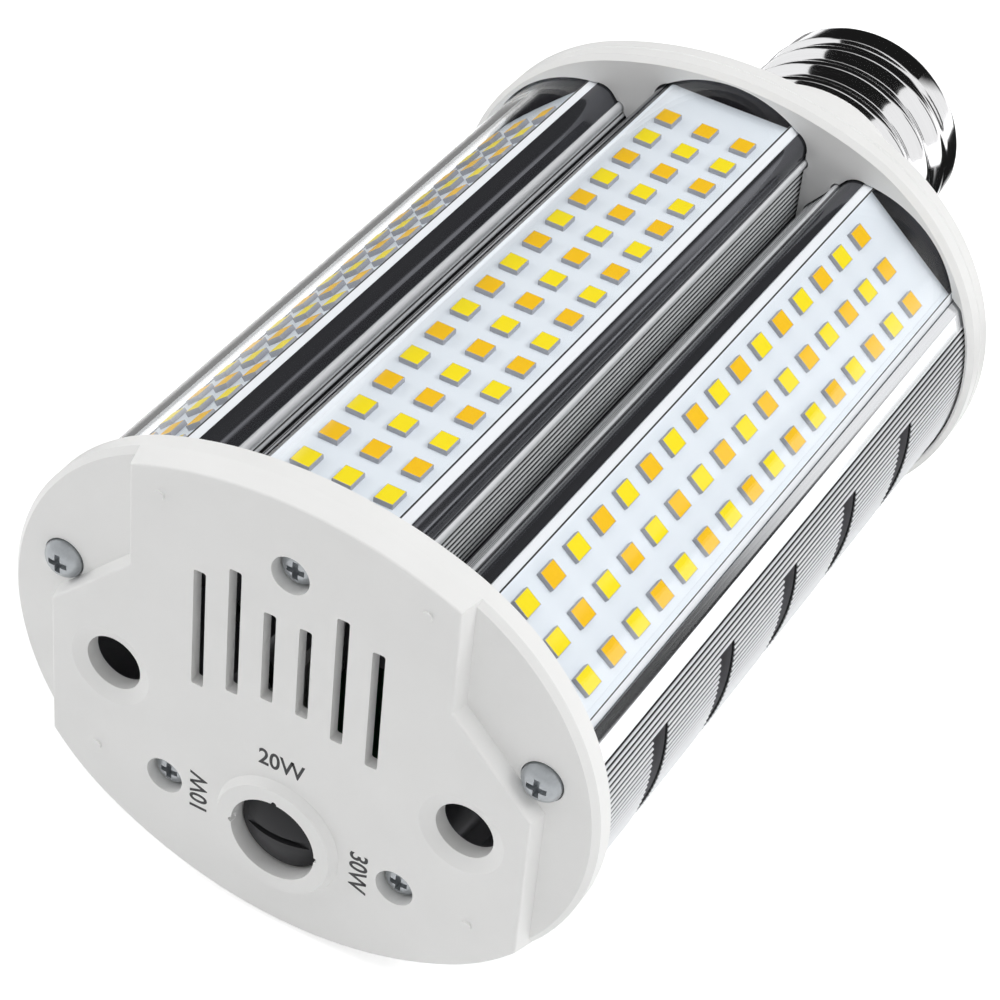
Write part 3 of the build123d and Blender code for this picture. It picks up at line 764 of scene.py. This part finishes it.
def add_piece(
    name: str,
    shape: bmesh.types.BMesh,
    finishes: Sequence[Finish],
    replaced: Iterable[str] = (),
    body: Body = Body.LAMP,
    smooth: float = 35.0,
) -> bpy.types.Object:
    """Turn a bmesh into a piece that rides on a body.

    Args:
        name: The piece's name.
        shape: Its mesh, in metres in the lamp's frame. It is freed.
        finishes: One finish per material index.
        replaced: CAD nodes that it stands for.
        body: The body that carries it.
        smooth: Edges that turn by less than this many degrees are shaded smooth.

    Returns:
        The new object.
    """
    mesh = bpy.data.meshes.new(name)
    for face in shape.faces:
        face.smooth = True
    for edge in shape.edges:
        edge.smooth = edge.calc_face_angle(math.pi) < math.radians(smooth)
    shape.to_mesh(mesh)
    shape.free()
    for finish in finishes:
        mesh.materials.append(finish.material())
    piece = bpy.data.objects.new(name, mesh)
    bpy.context.scene.collection.objects.link(piece)
    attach(piece, body.value)
    if replaced:
        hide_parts(*replaced)
    LOG.info("built %s with %d faces", name, len(mesh.polygons))
    return piece


@dataclass
class HeatSink:
    """The ribbed extrusion and the seals at its ends."""

    metal: Finish = SINK_METAL
    seal: Finish = SEAL_RUBBER

    def build(self) -> None:
        """Dress the extrusion and its seals."""
        dress(self.metal, "heat_sink")
        dress(self.seal, "front_gasket", "rear_gasket")


@dataclass
class LightEngine:
    """The LED boards, their packages and the clear covers. Sizes are in millimetres."""

    length: float = 3.6
    width: float = 3.0
    height: float = 0.8
    edge: float = 0.08
    edge_segments: int = 2
    rim: float = 0.04
    sink: float = 0.03
    columns: int = 3
    column_pitch: float = 6.5
    row_pitch: float = 7.0
    rows: int = 16
    resist: Finish = BOARD_RESIST
    reflector: Finish = LED_PLASTIC

    def fan(self) -> tuple[float, float]:
        """Find the fan that the boards lie on.

        Returns:
            The height of its axis and the radius of the boards' faces, in metres.
        """
        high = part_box("led_board_centre")[1]
        tilt = math.radians(Side.RIGHT.value)
        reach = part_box("led_board_right")[1].x - high.x * math.cos(tilt)
        radius = reach / math.sin(tilt)
        return high.z - radius, radius

    def package(self) -> bpy.types.Mesh:
        """Model one LED package about the middle of its foot.

        Returns:
            A mesh with the reflector first and the phosphor second.
        """
        shape = bmesh.new()
        bmesh.ops.create_cube(shape, size=1.0)
        size = Vector((self.width, self.length, self.height)) * MM
        bmesh.ops.scale(shape, vec=size, verts=shape.verts)
        bmesh.ops.translate(shape, vec=(0, 0, size.z / 2), verts=shape.verts)
        shape.faces.ensure_lookup_table()
        top = max(shape.faces, key=lambda face: face.calc_center_median().z)
        bmesh.ops.bevel(
            shape,
            geom=top.edges[:],
            offset=self.edge * MM,
            affect="EDGES",
            segments=self.edge_segments,
            profile=0.5,
            material=-1,
        )
        top = max(shape.faces, key=lambda face: (round(face.normal.z, 3), face.calc_area()))
        bmesh.ops.inset_region(shape, faces=[top], thickness=self.rim * MM, depth=0.0)
        top.material_index = 1
        inner = bmesh.ops.inset_region(
            shape, faces=[top], thickness=self.sink * MM, depth=-self.sink * MM
        )
        for face in inner["faces"]:
            face.material_index = 1
        mesh = bpy.data.meshes.new("led_package")
        shape.to_mesh(mesh)
        shape.free()
        return mesh

    def array(self, side: Side, tone: Tone, package: bpy.types.Mesh) -> None:
        """Set one tone's packages out on one board.

        Args:
            side: The board's lobe.
            tone: The packages' tone.
            package: One package's mesh.
        """
        axis_z, radius = self.fan()
        tilt = Matrix.Rotation(math.radians(side.value), 4, "Y")
        turn = Matrix.Translation((0, 0, axis_z)) @ tilt
        node = f"{tone.value}_leds_{side.word}"
        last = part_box(node)[1].y - self.length * MM / 2
        shape = bmesh.new()
        for row in range(0, self.rows, len(Tone)):
            along = last - row * self.row_pitch * MM
            for column in range(self.columns):
                across = (column - (self.columns - 1) / 2) * self.column_pitch * MM
                known = set(shape.verts)
                shape.from_mesh(package)
                fresh = [vert for vert in shape.verts if vert not in known]
                place = turn @ Matrix.Translation((across, along, radius))
                bmesh.ops.transform(shape, matrix=place, verts=fresh)
        add_piece(
            f"{tone.value}_packages_{side.word}",
            shape,
            (self.reflector, PHOSPHORS[tone]),
            (node,),
        )

    def build(self) -> None:
        """Dress boards and covers and set out the packages."""
        package = self.package()
        for side in Side:
            dress(self.resist, f"led_board_{side.word}")
            dress(COVER_PLASTICS[side], f"cover_{side.word}")
            # Clear acrylic lets the lamps and the sky through to the board
            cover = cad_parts[f"cover_{side.word}"]
            cover.visible_shadow = False
            cover.visible_diffuse = False
            for tone in Tone:
                self.array(side, tone, package)
        bpy.data.meshes.remove(package)


@dataclass(frozen=True)
class Mark:
    """One printed mark beside the dial. Places are in millimetres and the turn in degrees."""

    text: str
    x: float
    z: float
    turn: float


@dataclass
class FrontCap:
    """The moulded front cap with its screws and printed marks. Sizes are in millimetres."""

    letter_size: float = 4.1
    letter_width: float = 0.88
    letter_weight: float = 0.07
    peak_kerning: float = -6.0
    ink_thickness: float = 0.02
    face_y: float = -156.6
    marks: tuple[Mark, ...] = (
        Mark("10W", -13.4, -21.5, 90.0),
        Mark("20W", 0.1, -8.3, 0.0),
        Mark("30W", 13.4, -21.8, -90.0),
    )
    plastic: Finish = CAP_PLASTIC
    ink: Finish = PRINT_INK

    def letters(self, mark: Mark) -> bpy.types.Mesh:
        """Model one mark's letters, flat at the origin.

        The W's middle peak is as tall as its sides, so it is two V's set close together.

        Args:
            mark: The mark to write.

        Returns:
            The letters as a mesh.
        """
        curve = bpy.data.curves.new("mark", "FONT")
        curve.body = mark.text.replace("W", "VV")
        curve.body_format[curve.body.index("V")].kerning = self.peak_kerning
        curve.size = self.letter_size * MM
        curve.offset = self.letter_weight * MM
        curve.extrude = self.ink_thickness * MM
        curve.align_x = "CENTER"
        curve.align_y = "CENTER"
        writer = bpy.data.objects.new("mark", curve)
        bpy.context.scene.collection.objects.link(writer)
        mesh = bpy.data.meshes.new_from_object(
            writer.evaluated_get(bpy.context.evaluated_depsgraph_get())
        )
        bpy.data.objects.remove(writer)
        bpy.data.curves.remove(curve)
        return mesh

    def print_marks(self) -> None:
        """Print the power marks round the dial."""
        shape = bmesh.new()
        upright = Matrix.Rotation(math.radians(90), 4, "X")
        for mark in self.marks:
            mesh = self.letters(mark)
            known = set(shape.verts)
            shape.from_mesh(mesh)
            fresh = [vert for vert in shape.verts if vert not in known]
            spot = Matrix.Translation(Vector((mark.x, self.face_y, mark.z)) * MM)
            turn = Matrix.Rotation(math.radians(mark.turn), 4, "Z")
            narrow = Matrix.Scale(self.letter_width, 4, (1, 0, 0))
            bmesh.ops.transform(shape, matrix=spot @ upright @ turn @ narrow, verts=fresh)
            bpy.data.meshes.remove(mesh)
        add_piece("power_marks", shape, (self.ink,))

    def build(self) -> None:
        """Dress the cap and its screws and print the marks."""
        dress(self.plastic, "front_cap")
        dress(SCREW_METAL, "cap_screws", "ear_screws")
        self.print_marks()


@dataclass
class PowerDial:
    """The dial and the switch behind it."""

    plastic: Finish = DIAL_PLASTIC

    def build(self) -> None:
        """Dress the dial, its shaft and its switch."""
        dress(self.plastic, "power_dial")
        dress(STEEL, "switch_shaft")
        dress(EPOXY, "rotary_switch")
        dress(GLASS_BOARD, "switch_board")
        dress(SCREW_METAL, "switch_board_screws")


@dataclass
class RearHousing:
    """The rear ring, the tapered housing and its screws."""

    plastic: Finish = CAP_PLASTIC

    def build(self) -> None:
        """Dress the ring, the housing and the screws."""
        dress(self.plastic, "rear_ring", "rear_housing")
        dress(SCREW_METAL, "rear_screws")


@dataclass
class ScrewBase:
    """The rolled screw shell with its insulator and tip contact. Sizes are in millimetres."""

    pitch: float = 6.35
    depth: float = 1.35
    hollow: float = 1.15
    fade: float = 3.0
    thread_end: float = 27.6
    start: float = 0.02
    round: float = 3.0
    round_steps: int = 8
    mouth: float = 15.0
    sheet: float = 0.45
    steps: int = 96
    profile_points: int = 14
    seam_share: float = 0.05
    cut: float = 0.0001
    weld: float = 0.001
    rim_band: float = 0.01
    smooth: float = 60.0
    metal: Finish = SHELL_METAL

    def thread(self, crest: float, length: float) -> bmesh.types.BMesh:
        """Wind the rolled thread along the shell.

        Args:
            crest: The crest radius.
            length: The shell's length.

        Returns:
            The thread's surface, open at both ends, in millimetres.
        """
        shape = bmesh.new()
        verts = []
        for index in range(self.profile_points + 1):
            share = index / self.profile_points
            verts.append(shape.verts.new((crest, (share - 1) * self.pitch, 0)))
        edges = [shape.edges.new(pair) for pair in zip(verts, verts[1:])]
        turns = math.ceil(length / self.pitch) + 1
        bmesh.ops.spin(
            shape,
            geom=verts + edges,
            cent=(0, 0, 0),
            axis=(0, 1, 0),
            dvec=(0, self.pitch / self.steps, 0),
            angle=math.tau * turns,
            steps=self.steps * turns,
            use_duplicate=False,
        )
        seam = self.seam_share * self.pitch / self.profile_points
        bmesh.ops.remove_doubles(shape, verts=shape.verts, dist=seam)
        for vert in shape.verts:
            angle = math.atan2(-vert.co.z, vert.co.x)
            phase = math.tau * vert.co.y / self.pitch - angle
            ramp = min(1.0, max(0.0, (self.thread_end - vert.co.y) / self.fade))
            valley = (0.5 - 0.5 * math.cos(phase)) ** self.hollow
            shrink = 1 - self.depth * valley * ramp * ramp * (3 - 2 * ramp) / crest
            vert.co.x *= shrink
            vert.co.z *= shrink
        for station, outer in ((self.start, False), (self.thread_end, True)):
            bmesh.ops.bisect_plane(
                shape,
                geom=shape.verts[:] + shape.edges[:] + shape.faces[:],
                dist=self.cut,
                plane_co=(0, station, 0),
                plane_no=(0, 1, 0),
                clear_outer=outer,
                clear_inner=not outer,
            )
        return shape

    def close_end(self, shape: bmesh.types.BMesh, crest: float, length: float) -> None:
        """Run the thread out into the smooth band and the rounded shoulder.

        Args:
            shape: The thread's surface.
            crest: The crest radius.
            length: The shell's length.
        """
        stops = [(crest, length - self.round)]
        for step in range(1, self.round_steps + 1):
            angle = math.radians(90 * step / self.round_steps)
            inward = self.round * (1 - math.cos(angle))
            stops.append((crest - inward, length - self.round + self.round * math.sin(angle)))
        stops.append((self.mouth, length))
        band = self.thread_end - self.rim_band
        rim = [
            edge
            for edge in shape.edges
            if edge.is_boundary and all(vert.co.y > band for vert in edge.verts)
        ]
        radius = crest
        for reach, station in stops:
            grown = bmesh.ops.extrude_edge_only(shape, edges=rim)["geom"]
            fresh = [item for item in grown if isinstance(item, bmesh.types.BMVert)]
            rim = [item for item in grown if isinstance(item, bmesh.types.BMEdge)]
            for vert in fresh:
                vert.co.x *= reach / radius
                vert.co.z *= reach / radius
                vert.co.y = station
            radius = reach

    def build(self) -> None:
        """Model the threaded shell and dress the base."""
        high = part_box("screw_shell")[1]
        crest = high.x / MM
        length = high.y / MM
        shape = self.thread(crest, length)
        self.close_end(shape, crest, length)
        bmesh.ops.remove_doubles(shape, verts=shape.verts, dist=self.weld)
        bmesh.ops.recalc_face_normals(shape, faces=shape.faces)
        bmesh.ops.solidify(shape, geom=shape.faces[:], thickness=self.sheet)
        bmesh.ops.scale(shape, vec=(MM, MM, MM), verts=shape.verts)
        add_piece(
            "rolled_shell",
            shape,
            (self.metal,),
            ("screw_shell",),
            smooth=self.smooth,
        )
        dress(INSULATOR, "base_insulator")
        dress(CONTACT_METAL, "centre_contact")


@dataclass
class Driver:
    """The driver in the body and the leads from it."""

    def build(self) -> None:
        """Dress the driver's pieces and the leads."""
        dress(TRAY_PLASTIC, "driver_tray")
        dress(GLASS_BOARD, "driver_board")
        dress(FERRITE, "transformer", "filter_choke")
        dress(CAN_SLEEVE, "bulk_capacitors", "film_capacitor")
        dress(EPOXY, "power_transistor")
        dress(BLACK_WIRE, "led_leads")
        dress(RED_WIRE, "centre_lead")
        dress(WHITE_WIRE, "shell_lead")


@dataclass(frozen=True)
class Softbox:
    """One soft studio lamp. Places and sizes are in metres and the power in watts."""

    name: str
    place: tuple[float, float, float]
    size: tuple[float, float]
    power: float


@dataclass(frozen=True)
class Flag:
    """A dark card that only reflections see. Places, sizes and soft edges are in metres."""

    name: str
    place: tuple[float, float, float]
    size: tuple[float, float]
    level: bool = False
    tone: float = 0.012
    soft: tuple[float, float] = (0.01, 0.01)


@dataclass
class Studio:
    """Floor, world, lamps, flags and camera. Lengths are in metres."""

    floor_size: float = 12.0
    floor_colour: str = "#F4F4F4"
    floor_roughness: float = 0.8
    floor_glow: float = 0.55
    ambient: float = 0.45
    white: str = "#FFFFFF"
    black: str = "#000000"
    lens: float = 110.94
    sensor: float = 36.0
    eye: tuple[float, float, float] = (0.15947, -0.41963, 0.29644)
    right: tuple[float, float, float] = (0.8618, 0.5006, 0.0816)
    down: tuple[float, float, float] = (0.3749, -0.5205, -0.7671)
    target: tuple[float, float, float] = (0.0, -0.08, 0.0)
    lamps: tuple[Softbox, ...] = (
        Softbox("top_softbox", (0.1, -0.1, 1.5), (1.6, 1.6), 7.0),
        Softbox("left_key", (-1.1, -0.35, 0.55), (0.5, 0.5), 3.5),
        Softbox("right_softbox", (1.0, 0.05, 1.0), (0.6, 0.6), 7.3),
    )
    flags: tuple[Flag, ...] = (
        Flag("rear_flag", (-0.39, 1.83, 1.08), (3.77, 2.8), soft=(0.4, 0.3)),
        Flag("side_flag", (1.45, 1.35, 0.45), (0.4, 1.4), soft=(0.05, 0.2)),
        Flag("roof_flag", (0.0, 0.0, 2.0), (3.0, 1.7), level=True),
        Flag("left_card", (-0.2, 0.1, -0.035), (0.2, 0.4), level=True, tone=0.24),
        Flag("base_card", (0.07, 0.11, -0.035), (0.1, 0.18), level=True),
    )

    def seen(self, tree: bpy.types.NodeTree) -> bpy.types.NodeSocket:
        """Tell the rays that see the background from those that carry light.

        Args:
            tree: The node tree to add to.

        Returns:
            One for camera, glossy and transmission rays, and zero for others.
        """
        path = add_node(tree, "ShaderNodeLightPath")
        total = path.outputs["Is Camera Ray"]
        for name in ("Is Glossy Ray", "Is Transmission Ray"):
            total = add_node(
                tree,
                "ShaderNodeMath",
                {"operation": "MAXIMUM"},
                {0: total, 1: path.outputs[name]},
            ).outputs[0]
        return total

    def sheet(
        self, name: str, size: tuple[float, float], place: Matrix, material: bpy.types.Material
    ) -> bpy.types.Object:
        """Lay a flat stage sheet.

        Args:
            name: The sheet's name.
            size: Its width and length.
            place: Its place and turn.
            material: Its material.

        Returns:
            The new object.
        """
        shape = bmesh.new()
        bmesh.ops.create_grid(shape, x_segments=1, y_segments=1, size=0.5)
        bmesh.ops.scale(shape, vec=(size[0], size[1], 1), verts=shape.verts)
        mesh = bpy.data.meshes.new(name)
        shape.to_mesh(mesh)
        shape.free()
        mesh.materials.append(material)
        card = bpy.data.objects.new(name, mesh)
        card.matrix_world = place
        bpy.context.scene.collection.objects.link(card)
        LOG.info("staged %s", name)
        return card

    def lay_floor(self) -> None:
        """Lay the pale floor under the lamp."""
        paint = bpy.data.materials.new("matt white floor paint")
        paint.use_nodes = True
        tree = paint.node_tree
        shader = tree.nodes["Principled BSDF"]
        shader.inputs["Base Color"].default_value = linear(self.floor_colour)
        shader.inputs["Roughness"].default_value = self.floor_roughness
        shader.inputs["Emission Color"].default_value = linear(self.white)
        glow = add_node(
            tree,
            "ShaderNodeMath",
            {"operation": "MULTIPLY", 1: self.floor_glow},
            {0: self.seen(tree)},
        )
        tree.links.new(glow.outputs[0], shader.inputs["Emission Strength"])
        place = Matrix.Translation((0, 0, CAD_BOX[0][2]))
        self.sheet("floor", (self.floor_size, self.floor_size), place, paint)

    def light_world(self) -> None:
        """Give the world a white background and an even ambient light."""
        world = bpy.data.worlds.new("white studio")
        world.use_nodes = True
        bpy.context.scene.world = world
        tree = world.node_tree
        strength = add_node(
            tree,
            "ShaderNodeMapRange",
            {"To Min": self.ambient, "To Max": 1.0},
            {"Value": self.seen(tree)},
        )
        sky = tree.nodes["Background"]
        sky.inputs["Color"].default_value = linear(self.white)
        tree.links.new(strength.outputs["Result"], sky.inputs["Strength"])

    def aim(self, place: Sequence[float]) -> Matrix:
        """Turn something at a place towards the lamp.

        Args:
            place: Where it stands.

        Returns:
            Its place and turn.
        """
        look = Vector(self.target) - Vector(place)
        return Matrix.Translation(place) @ look.to_track_quat("-Z", "Y").to_matrix().to_4x4()

    def cloth(self, flag: Flag) -> bpy.types.Material:
        """Make a flag's cloth, which fades into the white studio at its edges.

        Args:
            flag: The flag that wears it.

        Returns:
            The cloth's material.
        """
        made = bpy.data.materials.new(f"{flag.name} cloth")
        made.use_nodes = True
        tree = made.node_tree
        parts = add_node(
            tree,
            "ShaderNodeSeparateXYZ",
            links={0: add_node(tree, "ShaderNodeTexCoord").outputs["Object"]},
        )
        fades = []
        for axis, size, soft in zip("XY", flag.size, flag.soft):
            out = add_node(
                tree, "ShaderNodeMath", {"operation": "ABSOLUTE"}, {0: parts.outputs[axis]}
            )
            ends = {"From Min": size / 2 - soft, "From Max": size / 2, "To Min": flag.tone}
            fade = add_node(tree, "ShaderNodeMapRange", ends, {"Value": out.outputs[0]})
            fades.append(fade.outputs["Result"])
        glow = add_node(
            tree, "ShaderNodeMath", {"operation": "MAXIMUM"}, {0: fades[0], 1: fades[1]}
        )
        shader = tree.nodes["Principled BSDF"]
        shader.inputs["Base Color"].default_value = linear(self.black)
        shader.inputs["Roughness"].default_value = 1.0
        shader.inputs["Specular IOR Level"].default_value = 0.0
        shader.inputs["Emission Color"].default_value = linear(self.white)
        tree.links.new(glow.outputs[0], shader.inputs["Emission Strength"])
        return made

    def hang_lamps(self) -> None:
        """Hang the softboxes and the dark flags."""
        for box in self.lamps:
            data = bpy.data.lights.new(box.name, "AREA")
            data.shape = "RECTANGLE"
            data.size, data.size_y = box.size
            data.energy = box.power
            lamp = bpy.data.objects.new(box.name, data)
            lamp.matrix_world = self.aim(box.place)
            # Reflections show the white studio and the flags instead of the lamps
            lamp.visible_glossy = False
            bpy.context.scene.collection.objects.link(lamp)
        for flag in self.flags:
            place = Matrix.Translation(flag.place) if flag.level else self.aim(flag.place)
            card = self.sheet(flag.name, flag.size, place, self.cloth(flag))
            card.visible_camera = False
            card.visible_diffuse = False
            card.visible_shadow = False

    def set_camera(self) -> None:
        """Stand the camera where the photograph was taken."""
        data = bpy.data.cameras.new("camera")
        data.lens = self.lens
        data.sensor_width = self.sensor
        right = Vector(self.right).normalized()
        up = -Vector(self.down)
        back = right.cross(up).normalized()
        up = back.cross(right)
        turn = Matrix((right, up, back)).transposed().to_4x4()
        camera = bpy.data.objects.new("camera", data)
        camera.matrix_world = Matrix.Translation(self.eye) @ turn
        bpy.context.scene.collection.objects.link(camera)
        bpy.context.scene.camera = camera

    def build(self) -> None:
        """Set up the whole studio."""
        bpy.context.scene.view_settings.view_transform = "Standard"
        self.set_camera()
        self.lay_floor()
        self.light_world()
        self.hang_lamps()


def main() -> None:
    """Build the lamp's looks and the studio."""
    logging.basicConfig(level=logging.INFO, format="%(message)s")
    for assembly in (
        Studio(),
        HeatSink(),
        LightEngine(),
        FrontCap(),
        PowerDial(),
        RearHousing(),
        ScrewBase(),
        Driver(),
    ):
        LOG.info("%s", type(assembly).__name__)
        assembly.build()
    bpy.context.view_layer.update()


if __name__ == "__main__":
    main()
